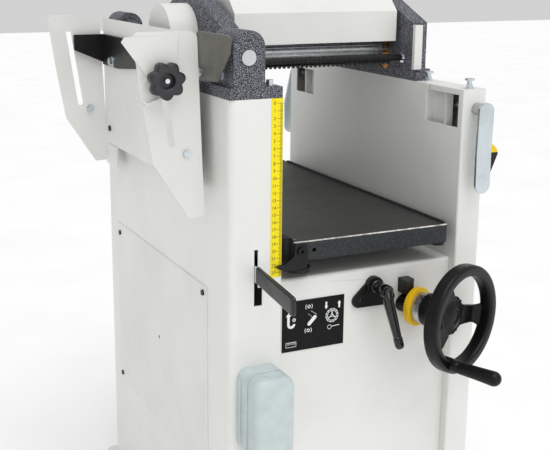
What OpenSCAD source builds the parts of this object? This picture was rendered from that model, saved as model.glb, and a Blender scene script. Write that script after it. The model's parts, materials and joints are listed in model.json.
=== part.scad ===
// Thickness planer: a bench-height cabinet with two columns, a rising cast table
// between them and a cutterhead with feed rollers carried across the top.
// Millimetres, +Z up, +X across the table, +Y along the feed; origin on the floor.

/* [Cabinet] */
// half of the clear width between the two columns
throat_half = 142.5; // [120:0.5:180]
// outer face of the left column
left_x = -220; // [-260:1:-190]
// outer face of the right column
right_x = 183.5; // [165:0.5:220]
// half of the cabinet depth
half_depth = 270; // [220:1:320]
// top of the left column
left_top = 746.5; // [700:0.5:800]
// top of the right column
right_top = 742.5; // [700:0.5:800]
// sheet thickness of the cabinet
sheet = 2; // [1.5:0.1:3]
// depth of the front and rear panels from the middle
panel_y = 255.5; // [230:0.5:268]
// height of the deck that closes the lower cabinet
deck_z = 493; // [460:1:520]
// corner radius of the columns
corner_r = 10; // [4:1:20]

/* [Table] */
// half of the table width
table_half = 125; // [110:1:130]
// height of the table face at rest
table_z = 549; // [540:1:760]
// thickness of the cast plate
plate_t = 9; // [7:1:14]
// height of the flange under the edges
flange_h = 28; // [20:1:40]
// radius of the guide column
guide_r = 42; // [30:1:50]
// middle of the guide column along the feed
guide_y = 30; // [0:1:60]
// running clearance of turning and sliding fits
run_gap = 0.05; // [0.02:0.01:0.1]

/* [Lift drive] */
// where the handwheel shaft leaves the front panel, across
wheel_x = 65.7; // [40:0.1:90]
// height of the handwheel shaft
wheel_z = 432.5; // [400:0.5:460]
// angle of the handwheel shaft out of square
wheel_turn = 20.5; // [0:0.5:30]
// outer radius of the handwheel
wheel_r = 78; // [60:1:90]
// teeth of each bevel gear
gear_teeth = 16; // [12:1:24]

/* [Cutter] */
// height of the cutterhead axis
cutter_z = 808; // [800:1:820]
// radius of the cutterhead body
drum_r = 33.5; // [30:0.5:38]
// radius that the knife edges sweep
knife_r = 36; // [32:0.5:40]
// radius of the feed rollers
roller_r = 14; // [12:0.5:20]
// height of the roller axes
roller_z = 785; // [782:0.5:792]
// distance of each roller from the cutterhead
roller_y = 58; // [54:1:70]

/* [Hidden] */
$fn = 64;
depth = 2*half_depth;
throat = 2*throat_half;
column_w = -throat_half - left_x;
apex_s = -wheel_x/sin(wheel_turn);
screw_y = -panel_y + wheel_x/tan(wheel_turn);
screw_r = 10;
cutter_shaft_r = 12.5;
bearing_r = 26;
rod_y = -110;
rod_z = 775.5;
rod_r = 5;
lock_x = 10.9;
lock_z = 467.9;
clamp_y = screw_y - screw_r;
pad_low = 461.2;
pad_high = 480;
motor_y = 165;
motor_z = 190;
belt_x = -204;
belt_w = 14;
drive_y = -30;
drive_z = 660;
sprocket_r = 20;
hood_pin_y = 90;
hood_pin_z = 822;
pivot_y = -130;
lever_z = 512;
plate_x = -235;
web_fixings = [-165, 195];
bracket_y = 218;
latch_x = 166;
latch_z = 715;
latch_y = 289.3;
latch_shaft_r = 6;
slot_foot = [-280.5, 686.5];
slot_lean = 8;
knob_at = 85.8;
knob_x = slot_foot[0] - knob_at*sin(slot_lean);
knob_z = slot_foot[1] + knob_at*cos(slot_lean);
switch_y = -220;
start_tilt = 90 + 22.93;
stop_tilt = 90 - 17.24;
hood_half = 137;
crank_r = 66;
link_x = -241;
chain_in_x = -186;
chain_out_x = -179;

// ---------- shared shapes ----------
module slab(x0, x1, y0, y1, z0, z1) {
    translate([x0, y0, z0]) cube([x1 - x0, y1 - y0, z1 - z0]);
}
module rod_x(x0, x1, y, z, r) {
    translate([x0, y, z]) rotate([0, 90, 0]) cylinder(h = x1 - x0, r = r);
}
module rod_y(y0, y1, x, z, r) {
    translate([x, y0, z]) rotate([-90, 0, 0]) cylinder(h = y1 - y0, r = r);
}
module rod_z(z0, z1, x, y, r) {
    translate([x, y, z0]) cylinder(h = z1 - z0, r = r);
}
module ring(h, ro, ri) {
    difference() {
        cylinder(h = h, r = ro);
        translate([0, 0, -1]) cylinder(h = h + 2, r = ri);
    }
}
module hex_head(r, h) {
    cylinder(h = h, r = r, $fn = 6);
}
module disc_at(p, r) {
    translate(p) circle(r = r);
}
// straight bar between two points with round ends
module bar2d(a, b, r) {
    d = b - a;
    n = r*[-d[1], d[0]]/norm(d);
    polygon([a + n, a - n, b - n, b + n]);
    disc_at(a, r);
    disc_at(b, r);
}
// convex outline, counter-clockwise, with its corners rounded to r
module round_poly(pts, r) {
    polygon(pts);
    for (i = [0:len(pts) - 1]) bar2d(pts[i], pts[(i + 1) % len(pts)], r);
}
// a figure drawn as across/up, standing in the X-Z plane between y0 and y1
module upright(y0, y1) {
    translate([0, y1, 0]) rotate([90, 0, 0]) linear_extrude(y1 - y0) children();
}
// a figure drawn as feed/up, standing in the Y-Z plane between x0 and x1
module side_on(x0, x1) {
    translate([x0, 0, 0]) rotate([90, 0, 90]) linear_extrude(x1 - x0) children();
}
module wheel_frame(s = 0) {
    translate([wheel_x, -panel_y, wheel_z]) rotate([90, 0, wheel_turn]) translate([0, 0, s])
        children();
}
module footprint(x0, x1, y0, y1, r_left, r_right) {
    union() {
        translate([x0 + r_left, y0]) square([x1 - x0 - r_left - r_right, y1 - y0]);
        translate([x0, y0 + r_left]) square([r_left + 0.01, y1 - y0 - 2*r_left]);
        disc_at([x0 + r_left, y0 + r_left], r_left);
        disc_at([x0 + r_left, y1 - r_left], r_left);
        translate([x1 - r_right - 0.01, y0 + r_right])
            square([r_right + 0.01, y1 - y0 - 2*r_right]);
        disc_at([x1 - r_right, y0 + r_right], r_right);
        disc_at([x1 - r_right, y1 - r_right], r_right);
    }
}

// ---------- cabinet ----------
base_x = (left_x + right_x)/2;
base_hole_x = 185;
base_hole_y = 286;
module base_frame() {
    color("Gainsboro") difference() {
        linear_extrude(4) footprint(left_x - 12, right_x + 12, -300, 300, 14, 14);
        slab(-100, 100, -200, -60, -1, 5);
        for (sx = [-1, 1], sy = [-1, 1])
            rod_z(-1, 5, base_x + sx*base_hole_x, sy*base_hole_y, 6);
    }
}
module left_column() {
    color("WhiteSmoke") difference() {
        translate([0, 0, 4]) linear_extrude(left_top - 4)
            footprint(left_x, -throat_half, -half_depth, half_depth, corner_r, 3);
        translate([0, 0, 3]) linear_extrude(left_top - sheet - 3)
            footprint(left_x + sheet, -throat_half - sheet, -half_depth + sheet,
                half_depth - sheet, corner_r - sheet, 1);
        // lever slot: a narrow upper run and a wider lower one
        slab(-184.2, -178.5, -half_depth - 1, -half_depth + 3, 480, 545);
        slab(-184.2, -172, -half_depth - 1, -half_depth + 3, 466, 492);
        // access opening behind the side panel
        slab(left_x - 1, left_x + 3, -178, 206, 190, 450);
        // belt and chain pass up through the top
        slab(-214, -174, -86, 86, left_top - 3, left_top + 1);
        // motor shaft
        rod_x(-throat_half - 3, -throat_half + 1, motor_y, motor_z, 40);
    }
}
module right_column() {
    inner = throat_half + sheet;
    color("WhiteSmoke") difference() {
        translate([0, 0, 4]) linear_extrude(right_top - 4)
            footprint(throat_half, right_x, -half_depth, half_depth, 3, 5);
        translate([0, 0, 3]) linear_extrude(right_top - sheet - 3)
            footprint(throat_half + sheet, right_x - sheet, -half_depth + sheet,
                half_depth - sheet, 1, 3);
        // windows beside the latch shaft, the front one with a slit up to the rim
        slab(throat_half - 1, inner + 1, -259, -177, 687.5, 734.5);
        slab(throat_half - 1, inner + 1, -187, -181.5, 730, right_top + 1);
        slab(throat_half - 1, inner + 1, 178, 245, 684, 728);
        // service opening behind the side panel
        slab(right_x - 3, right_x + 1, -190, 190, 170, 440);
        rod_y(-half_depth - 1, half_depth + 1, latch_x, latch_z, latch_shaft_r + run_gap);
    }
    // pocket folded behind the rear half of each window
    for (w = [[-226, -177, 676], [176, 214, 672]]) color("WhiteSmoke") {
        slab(inner - 0.5, 157, w[1] - 1.5, w[1], w[2], right_top - 1);
        slab(inner - 0.5, 157, w[0], w[0] + 1.5, w[2], right_top - 1);
        slab(155.5, 157, w[0], w[1], w[2], right_top - 1);
    }
}
module front_panel() {
    fold = 5;
    color("WhiteSmoke") difference() {
        union() {
            slab(-throat_half, throat_half, -panel_y, -panel_y + sheet, 4, deck_z - fold);
            slab(-throat_half, throat_half, -panel_y + fold, panel_y, deck_z - sheet, deck_z);
            difference() {
                rod_x(-throat_half, throat_half, -panel_y + fold, deck_z - fold, fold);
                rod_x(-throat_half - 1, throat_half + 1, -panel_y + fold, deck_z - fold,
                    fold - sheet);
                slab(-throat_half - 1, throat_half + 1, -panel_y - 1, -panel_y + 2*fold + 1,
                    deck_z - 3*fold, deck_z - fold);
                slab(-throat_half - 1, throat_half + 1, -panel_y + fold,
                    -panel_y + 2*fold + 1, deck_z - 2*fold, deck_z + 1);
            }
        }
        rod_y(-panel_y - 1, -panel_y + 3, lock_x, lock_z, 7);
        wheel_frame(-12) cylinder(h = 24, r = 9);
        rod_z(deck_z - 3, deck_z + 1, 0, guide_y, guide_r + 4);
        rod_z(deck_z - 3, deck_z + 1, 0, screw_y, screw_r + 4);
    }
}
module rear_panel() {
    color("WhiteSmoke") slab(-throat_half, throat_half, panel_y - sheet, panel_y, 4,
        deck_z - sheet);
}
module access_panels() {
    color("Gainsboro") difference() {
        side_on(left_x - 1.5, left_x)
            round_poly([[-189.5, 181], [219, 181], [219, 471], [-189.5, 471]], 3);
        rod_x(left_x - 2, left_x + 1, 10, 331, 3);
    }
    color("Gainsboro") side_on(right_x, right_x + 1.5)
        round_poly([[-262, 153], [262, 153], [262, 492], [-262, 492]], 3);
}
module panel_screws() {
    color("Silver") {
        for (p = [[204, 457], [-179, 463.5], [209, 193], [-179, 193]])
            translate([left_x - 1.5, p[0], p[1]]) rotate([0, -90, 0])
                cylinder(h = 2.2, r = 4.2);
        for (p = [[250, 480], [-250, 480], [250, 165], [-250, 165]])
            translate([right_x + 1.5, p[0], p[1]]) rotate([0, 90, 0])
                cylinder(h = 2.2, r = 4.2);
        for (y = web_fixings) translate([plate_x - sheet, y, 643.5]) rotate([0, -90, 0])
            cylinder(h = 2.6, r = 4.8);
    }
}

// ---------- castings that carry the head ----------
module block_slots(x0, x1) {
    for (s = [-1, 1]) {
        slab(x0, x1, s*roller_y - 11.3, s*roller_y + 11.3, 764, 812);
        rod_x(x0, x1, s*roller_y, 764, 11.3);
    }
}
module left_casting() {
    top = left_top;
    color("DimGray") difference() {
        union() {
            slab(left_x, -144.5, -half_depth, half_depth, top, top + 15);
            // hinge lugs at both ends
            for (y = [[-half_depth, -196], [212, half_depth]]) {
                slab(-214.5, -170, y[0], y[1], top + 14, 812);
                rod_y(y[0], y[1], -192.25, 812, 22.25);
            }
            // web that holds the cutterhead and the rollers
            slab(-172, -146, -132, 132, top + 14, 830);
            side_on(-172, -146) polygon([[-132, 829], [132, 829], [48, 866], [-48, 866]]);
        }
        slab(-212, -174.5, -86, 86, top - 1, top + 16);
        rod_x(-173, -145, 0, cutter_z, bearing_r);
        block_slots(-164, -145);
        for (s = [-1, 1]) rod_x(-173, -163, s*roller_y, roller_z, 9);
        rod_x(-156, -145, rod_y, rod_z, rod_r + 0.02);
        rod_x(-147, -145, hood_pin_y, hood_pin_z, 4.02);
        rod_y(-271, -195, -193.5, 800, 10.05);
        rod_y(211, 271, -193.5, 800, 10.05);
    }
}
module right_casting() {
    top = right_top;
    color("DimGray") difference() {
        union() {
            slab(throat_half, 156, -148, 148, top, top + 12);
            slab(throat_half, 178, -134, 134, top, top + 16);
            slab(throat_half + 1, 170, -132, 132, top + 15, 830);
            side_on(throat_half + 1, 170)
                polygon([[-132, 829], [132, 829], [48, 866], [-48, 866]]);
        }
        rod_x(throat_half, 171, 0, cutter_z, bearing_r);
        block_slots(throat_half - 1, 162);
        rod_x(throat_half - 1, 157, rod_y, rod_z, rod_r + 0.02);
        rod_x(throat_half, 146, hood_pin_y, hood_pin_z, 4.02);
    }
}
module washer_bolt(washer_r, head_r, head_h) {
    cylinder(h = 1.6, r = washer_r);
    translate([0, 0, 1.6]) hex_head(head_r, head_h);
}
module hex_bolts() {
    color("Silver") {
        for (p = [[-157, -256], [-157, 240], [-157, -160], [-157, 160]])
            translate([p[0], p[1], left_top + 15]) washer_bolt(6.5, 5.2, 6.4);
        for (y = [-110, 110]) translate([174, y, right_top + 16]) washer_bolt(3.9, 3.4, 4);
        translate([149.5, 141, right_top + 12]) washer_bolt(5.8, 5, 5.5);
        // bolts and spacers of the front hinge plate
        translate([-238, -211, 778]) rotate([0, -90, 0]) washer_bolt(7, 6.4, 5.4);
        rod_x(-238, -234, -211, 778, 5);
        for (p = [[-204, 782], [-228, 800]]) rod_x(-228, -214.5, p[0], p[1], 6);
        for (p = [[-237, 788], [-235, 776]])
            translate([-214.5, p[0], p[1]]) rotate([0, -90, 0]) washer_bolt(6.5, 5.4, 5);
        // bolt of the rear link
        translate([link_x, 157, 759]) rotate([0, -90, 0]) washer_bolt(8.4, 6.6, 5.4);
        // clamp bolts of the side bracket
        translate([-260, -bracket_y - sheet, 673]) rotate([90, 0, 0]) hex_head(5.2, 3.6);
        translate([-260, bracket_y + sheet, 673]) rotate([-90, 0, 0]) hex_head(5.2, 3.6);
        translate([-264.5, bracket_y, 676.3]) rotate([90, 0, 0]) washer_bolt(6.4, 5.2, 4);
        // stop bolts on the right column
        for (p = [[162, -256], [164.4, -151]]) translate([p[0], p[1], right_top]) {
            cylinder(h = 2, r = 6);
            translate([0, 0, 2]) hex_head(5, 4.5);
            translate([0, 0, 6.5]) cylinder(h = 5.5, r = 3.6);
            translate([0, 0, 12]) cylinder(h = 2.6, r = 7.2);
        }
    }
}
module hinge_pins() {
    color("Silver") {
        rod_y(-272, -193, -193.5, 800, 10);
        rod_y(210, 272, -193.5, 800, 10);
        // hood pins, seated in both castings
        rod_x(-147, -133, hood_pin_y, hood_pin_z, 4);
        rod_x(133, 146, hood_pin_y, hood_pin_z, 4);
    }
}
module hinge_plate() {
    color("DimGray") {
        side_on(-234, -228)
            round_poly([[-251, 773], [-198, 774], [-198, 826], [-292, 826], [-287.5, 809]], 4);
        // rear link: an angle along the outside of the side bracket
        side_on(link_x, plate_x - sheet) polygon([[29, 765], [46, 757.5], [129, 750], [214, 750],
            [214, 800], [95, 800], [61, 779]]);
        upright(210, 214) polygon([[link_x + 1, 753.3], [link_x + 1, 800], [-290, 800],
            [-290, 775], [-273.9, 768], [-255.3, 759.9]]);
    }
}

// ---------- side bracket ----------
bracket_pts = [[-235, 586], [-257, 585], [-306, 662], [-319, 739], [-331, 826],
    [-325, 832], [-252, 832], [-243.5, 824]];
module bracket_outline() {
    top = [slot_foot[0] - 118*sin(slot_lean), slot_foot[1] + 118*cos(slot_lean)];
    difference() {
        polygon([for (i = [len(bracket_pts) - 1:-1:0]) bracket_pts[i]]);
        bar2d(slot_foot, top, 4.3);
    }
}
module bracket_web() {
    color("WhiteSmoke") {
        side_on(plate_x - sheet, plate_x) polygon([[-bracket_y, 617], [206.6, 617],
            [206.6, 826], [-196, 826]]);
        // spacers that hold the bracket off the column
        for (y = web_fixings) rod_x(plate_x - 0.5, left_x, y, 643.5, 6);
    }
}
module bracket_front() {
    color("White") upright(-bracket_y - sheet, -bracket_y) bracket_outline();
}
module bracket_rear() {
    color("White") {
        upright(bracket_y, bracket_y + sheet) bracket_outline();
        side_on(plate_x - sheet, plate_x)
            polygon([[160, 581], [bracket_y + sheet, 581], [bracket_y + sheet, 826],
                [207, 826], [207, 616], [160, 616]]);
    }
}
module slide_plate() {
    y1 = -bracket_y - sheet - 0.3;
    color("White") difference() {
        union() {
            upright(y1 - 2, y1) polygon([[-346, 820], [-312.7, 775], [-323.6, 765],
                [-320.9, 746.2], [-316.5, 740.1], [-297.8, 746.5], [-276, 756],
                [-270, 826], [-342, 826]]);
            // folded lip along the lower edge
            upright(y1 - 7, y1) polygon([[-320.9, 746.2], [-316.5, 740.1], [-297.8, 746.5],
                [-298.5, 748.5], [-315.7, 742.6], [-319.2, 747.4]]);
        }
        rod_y(-bracket_y - 12, -bracket_y, knob_x, knob_z, 4.3);
    }
}
module star_knob() {
    seat = -bracket_y - sheet - 2.6;
    color("DarkSlateGray") translate([knob_x, seat, knob_z]) rotate([90, 0, 0])
        difference() {
            union() {
                cylinder(h = 7, r = 12);
                translate([0, 0, 6]) linear_extrude(16) {
                    disc_at([0, 0], 20);
                    for (i = [0:6]) disc_at(18.5*[cos(i*360/7 + 11), sin(i*360/7 + 11)], 6.4);
                }
            }
            translate([0, 0, 14]) cylinder(h = 10, r = 8);
        }
    // stud through the slot, its end in the recess
    color("Silver") rod_y(seat - 19, -bracket_y + 8, knob_x, knob_z, 3.7);
}

// ---------- front face ----------
module height_scale() {
    color("Gold") slab(-160.5, -144, -half_depth - 0.6, -half_depth, 504, left_top);
}
module control_label() {
    color("DarkSlateGray") slab(-134.5, -36, -panel_y - 0.8, -panel_y, 385.5, 459.5);
}
module lock_flange() {
    fork = lock_x - 15;
    color("DimGray") difference() {
        union() {
            upright(-panel_y - 4, -panel_y)
                round_poly([[-13.5, 446.2], [37, 445.5], [11.2, 469.5]], 10);
            rod_y(-panel_y - 9, -panel_y, lock_x, lock_z, 13);
            // sleeve that carries the clamp shaft to a fork in front of the lift screw
            rod_y(-panel_y - 1, clamp_y - 20, lock_x, lock_z, 6.9);
            slab(fork, fork + 30, clamp_y - 23, clamp_y - 11, pad_low - 0.2, pad_high + 1);
            slab(fork, fork + 3, clamp_y - 12, clamp_y - 2, pad_low - 0.2, pad_high + 1);
            slab(fork + 27, fork + 30, clamp_y - 12, clamp_y + 5, pad_low - 0.2, pad_high + 1);
        }
        rod_y(-panel_y - 20, clamp_y, lock_x, lock_z, 5.05);
        rod_y(-panel_y - 5, -panel_y + 1, -10, 446.5, 2);
    }
}
lever_tip = [26, -311, 386];
module lock_lever() {
    hub = [lock_x, -panel_y - 36, lock_z];
    d = lever_tip - hub;
    reach = norm(d);
    color("Silver") rod_y(-panel_y - 12, clamp_y - 11, lock_x, lock_z, 5);
    color("Silver") rod_y(-panel_y - 13.5, -panel_y - 9.4, lock_x, lock_z, 9);
    color("DimGray") {
        rod_y(-panel_y - 40, -panel_y - 13.5, lock_x, lock_z, 8);
        rod_y(-panel_y - 43, -panel_y - 29, lock_x, lock_z, 9.5);
        translate(hub) rotate([0, acos(d[2]/reach), atan2(d[1], d[0])]) {
            cylinder(h = reach - 16, r1 = 7.8, r2 = 6);
            translate([0, 0, reach - 17]) cylinder(h = 14, r = 6.5);
            translate([0, 0, reach - 6.5]) sphere(r = 6.5);
        }
    }
}
module lock_pad() {
    // slides in the fork and bears on the lift screw
    color("Goldenrod") difference() {
        slab(lock_x - 11.9, lock_x + 11.9, clamp_y - 10.7, clamp_y + 5, pad_low, pad_high);
        rod_z(pad_low - 1, pad_high + 1, 0, screw_y, screw_r + 0.3);
    }
}
module index_block() {
    color("DimGray") difference() {
        translate([0, 0, 451.5]) linear_extrude(21.3)
            polygon([[54, -panel_y], [54, -278], [71, -271.7], [71, -panel_y]]);
        translate([63, -270, 466]) rotate([90, 0, wheel_turn]) cylinder(h = 12, r = 1.6);
    }
}

// ---------- lift drive ----------
module shaft_boss() {
    color("DimGray") difference() {
        wheel_frame(-14) ring(32, 14, 8 + run_gap);
        slab(-200, 200, -panel_y, 0, 300, 600);
    }
    color("DimGray") difference() {
        wheel_frame(-24) ring(16, 13, 8 + run_gap);
        slab(-200, 200, -400, -panel_y + sheet, 300, 600);
    }
}
module bevel(angle_offset) {
    near = 13;
    far = 24;
    tip = 27.4;
    root = 20.2;
    step = 360/gear_teeth;
    cylinder(h = 2, r = 8.6);
    linear_extrude(far - near, scale = far/near) scale(near/far) {
        circle(r = root);
        for (i = [0:gear_teeth - 1]) rotate(i*step + angle_offset)
            polygon([[root - 1, -2.5], [far, -1.8], [tip, -0.9], [tip, 0.9], [far, 1.8],
                [root - 1, 2.5]]);
    }
}
module wheel_shaft() {
    color("Silver") {
        wheel_frame(apex_s + 20) cylinder(h = 88 - 20 - apex_s, r = 8);
        // bevel pinion, with a tooth pointing straight down at rest
        wheel_frame(apex_s + 13) bevel(-90);
        wheel_frame(28) cylinder(h = 13.4, r = 22.5);
    }
}
module dial() {
    color("Gold") wheel_frame(19.2) ring(8.8, 28.3, 8);
}
module handwheel() {
    hub_s = 41.5;
    rim_w = 15.7;
    rim_round = 4;
    arm_s = 34.5;
    color("DimGray") wheel_frame(hub_s) {
        difference() {
            union() {
                cylinder(h = arm_s + 1, r = 24);
                translate([0, 0, arm_s - 1]) cylinder(h = 15, r = 20);
                // rim
                translate([0, 0, 57]) rotate_extrude() translate([wheel_r - rim_w/2, 0])
                    round_poly([for (p = [[-1, -1], [1, -1], [1, 1], [-1, 1]])
                        [p[0]*(rim_w/2 - rim_round), p[1]*6.5]], rim_round);
                // three arms, stepped up to meet the rim
                for (i = [0:2]) rotate(i*120 - 10) {
                    translate([0, 0, arm_s]) linear_extrude(9)
                        polygon([[10, -16], [64, -12.7], [64, 12.7], [10, 16]]);
                    translate([57, -12.2, arm_s + 1]) cube([9.6, 24.4, 17]);
                }
                // boss of the crank
                rotate(-120) translate([crank_r, 0, 47]) cylinder(h = 20.5, r = 10);
            }
            translate([0, 0, -1]) cylinder(h = 48, r = 8);
            // seat of the crank pin
            rotate(-120) translate([crank_r, 0, 50]) cylinder(h = 30, r = 4);
        }
    }
}
module crank_handle() {
    color("DimGray") wheel_frame(109.2) rotate(-120) translate([crank_r, 0, 0]) {
        difference() {
            union() {
                cylinder(h = 12, r = 8.5);
                translate([0, 0, 11]) cylinder(h = 56, r1 = 8.5, r2 = 10.4);
                translate([0, 0, 66.4]) sphere(r = 10.4);
            }
            translate([0, 0, 11]) ring(1.4, 12, 7.8);
            translate([0, 0, -1]) cylinder(h = 40, r = 4.05);
        }
    }
}
module lift_nut() {
    color("Goldenrod") translate([0, screw_y, wheel_z]) difference() {
        union() {
            // a gap between teeth faces the pinion's lowest tooth
            translate([0, 0, -13]) rotate([180, 0, 0])
                bevel(90 - wheel_turn + 180/gear_teeth);
            translate([0, 0, -56]) cylinder(h = 36, r = 15);
            translate([0, 0, -40]) cylinder(h = 15, r = 20);
            translate([0, 0, -60]) cylinder(h = 4, r = 19);
        }
        translate([0, 0, -80]) cylinder(h = 90, r = screw_r + run_gap);
    }
}
module lift_screw() {
    color("Silver") rod_z(188, table_z - plate_t - 14, 0, screw_y, screw_r);
    color("Silver") rod_z(table_z - plate_t - 14, table_z - plate_t, 0, screw_y, screw_r + 6);
}
module guide_housing() {
    arm_z = wheel_z - 56;
    color("DimGray") difference() {
        union() {
            rod_z(350, deck_z - sheet, 0, guide_y, guide_r + 13);
            rod_z(deck_z - sheet - 10, deck_z - sheet, 0, guide_y, guide_r + 30);
            slab(-34, 34, -140, guide_y - 20, arm_z + 0.3, arm_z + 15.7);
            // pedestal for the inner end of the handwheel shaft
            wheel_frame(apex_s + 42) translate([-14, -48, 0]) cube([28, 62, 12]);
        }
        rod_z(340, deck_z + 1, 0, guide_y, guide_r + run_gap);
        rod_z(arm_z - 1, arm_z + 40, 0, screw_y, 15 + run_gap);
        wheel_frame(apex_s + 40) cylinder(h = 16, r = 8 + run_gap);
    }
}
module guide_column() {
    color("LightGray") difference() {
        rod_z(182, table_z - plate_t, 0, guide_y, guide_r);
        rod_z(181, table_z - plate_t - 12, 0, guide_y, guide_r - 8);
    }
}

// ---------- table ----------
module table() {
    z0 = table_z - flange_h;
    color("SlateGray") difference() {
        union() {
            slab(-table_half, table_half, -half_depth, half_depth, table_z - plate_t, table_z);
            for (s = [-1, 1]) {
                // side flange and the raised strip along each edge
                slab(s > 0 ? table_half - 8 : -table_half, s > 0 ? table_half : -table_half + 8,
                    -half_depth, half_depth, z0, table_z);
                slab(s > 0 ? table_half - 4 : -table_half, s > 0 ? table_half : -table_half + 4,
                    -half_depth + 2, 240, table_z - 1, table_z + 3.5);
                slab(-table_half, table_half, s > 0 ? half_depth - 8 : -half_depth,
                    s > 0 ? half_depth : -half_depth + 8, z0, table_z);
            }
            // ribs under the plate
            for (y = [-150, 120, 190]) slab(-table_half + 7, table_half - 7, y - 4, y + 4,
                z0 + 6, table_z - 1);
            slab(-64, -56, -half_depth + 7, half_depth - 7, z0 + 6, table_z - 1);
            slab(56, 64, -half_depth + 7, half_depth - 7, z0 + 6, table_z - 1);
        }
        // relief of the outer face of the front flange
        rod_y(-half_depth - 1, -half_depth + 9, -93.3, 535, 3);
        // ground chamfer along the front edge
        translate([0, -half_depth, table_z]) rotate([45, 0, 0])
            cube([2*table_half + 2, 1.6, 1.6], center = true);
    }
}
module pointer() {
    color("DimGray") difference() {
        union() {
            upright(-half_depth - 5, -half_depth - 1) polygon([[-125, 548], [-107, 548],
                [-105, 530], [-107, 512], [-141, 511], [-154.5, 518.5], [-140, 521], [-127, 530]]);
            slab(-124, -107, -half_depth - 2, -half_depth, 526, 548);
        }
        rod_y(-half_depth - 6, -half_depth + 1, -116, 537, 3.1);
    }
}
module pointer_screw() {
    color("DimGray") difference() {
        union() {
            rod_y(-half_depth - 8, -half_depth - 5, -116, 537, 6);
            rod_y(-half_depth - 6, -half_depth, -116, 537, 3);
        }
        rod_y(-half_depth - 9, -half_depth - 5.6, -116, 537, 2.4);
    }
}
module table_buffers() {
    under = table_z - flange_h;
    color("DimGray") {
        rod_z(510.5, under, -112, -258, 8);
        rod_z(505, 511, -112, -258, 17);
        rod_z(516.5, under, 118, -258, 10);
        for (x = [-112, 112]) rod_z(509, under, x, 258, 8);
        // shoes that run beside the left column
        for (y = [-246, 246]) difference() {
            rod_z(519, 553, -table_half - 1, y, 14);
            slab(-table_half, 0, y - 20, y + 20, 500, 600);
        }
    }
}

// ---------- cutterhead and feed ----------
module cutterhead() {
    color("Silver") difference() {
        union() {
            rod_x(-128, 128, 0, cutter_z, drum_r);
            rod_x(-192, 168, 0, cutter_z, cutter_shaft_r);
            rod_x(-140, 140, 0, cutter_z, 17);
            // belt pulley
            rod_x(belt_x - 9, belt_x + 9, 0, cutter_z, 28);
            rod_x(belt_x + 8, -189, 0, cutter_z, 18);
        }
        for (i = [0:2]) translate([0, 0, cutter_z]) rotate([i*120, 0, 0])
            slab(-129, 129, -3, 8, 22, 40);
    }
}
module knives() {
    for (i = [0:2]) translate([0, 0, cutter_z]) rotate([i*120, 0, 0]) {
        color("Silver") slab(-128, 128, -2.9, -0.1, 22.1, knife_r - 0.4);
        color("Gray") slab(-126, 126, 0, 7.9, 22.1, 31.5);
    }
}
module cutter_bearings() {
    color("LightGray") {
        translate([-164, 0, cutter_z]) rotate([0, 90, 0])
            ring(15, bearing_r - 0.02, cutter_shaft_r + run_gap);
        translate([148, 0, cutter_z]) rotate([0, 90, 0])
            ring(15, bearing_r - 0.02, cutter_shaft_r + run_gap);
    }
}
module roller_shape(y, chain_at) {
    rod_x(-130, 130, y, roller_z, roller_r);
    rod_x(-190, 159, y, roller_z, 6);
    rod_x(chain_at - 2.4, chain_at + 2.4, y, roller_z, sprocket_r);
}
module feed_roller_in() {
    color("Silver") difference() {
        roller_shape(-roller_y, chain_in_x);
        for (i = [0:17]) translate([0, -roller_y, roller_z]) rotate([i*20, 0, 0])
            slab(-131, 131, -1, 1, roller_r - 1.6, roller_r + 2);
    }
}
module feed_roller_out() {
    color("DimGray") roller_shape(roller_y, chain_out_x);
}
module bearing_blocks() {
    color("Peru") for (x = [-163, 143.5], s = [-1, 1]) difference() {
        union() {
            slab(x, x + 16, s*roller_y - 11, s*roller_y + 11, 764, 800);
            rod_x(x, x + 16, s*roller_y, 764, 11);
        }
        rod_x(x - 1, x + 17, s*roller_y, roller_z, 6 + run_gap);
    }
    color("Silver") for (x = [-155, 151.5], s = [-1, 1])
        rod_z(800, 812, x, s*roller_y, 5);
}
module kickback_rod() {
    color("Silver") {
        rod_x(-155, 156, rod_y, rod_z, rod_r);
        translate([throat_half - 1.6, rod_y, rod_z]) rotate([0, 90, 0]) ring(1.6, 8, rod_r);
    }
}
module kickback_fingers() {
    pitch = 7.4;
    count = 32;
    color("DimGray") for (i = [0:count - 1])
        translate([(i - (count - 1)/2)*pitch - 3.45, rod_y, rod_z]) {
            rotate([90, 0, 90]) ring(6.9, 6.2, rod_r + run_gap);
            translate([3.45, 0, 0]) rotate([90, 0, 0]) translate([0, 0, -2.5]) linear_extrude(5)
                polygon([[-3.2, -5.6], [3.2, -5.6], [0.5, -9.7], [-0.5, -9.7]]);
        }
}

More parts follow.
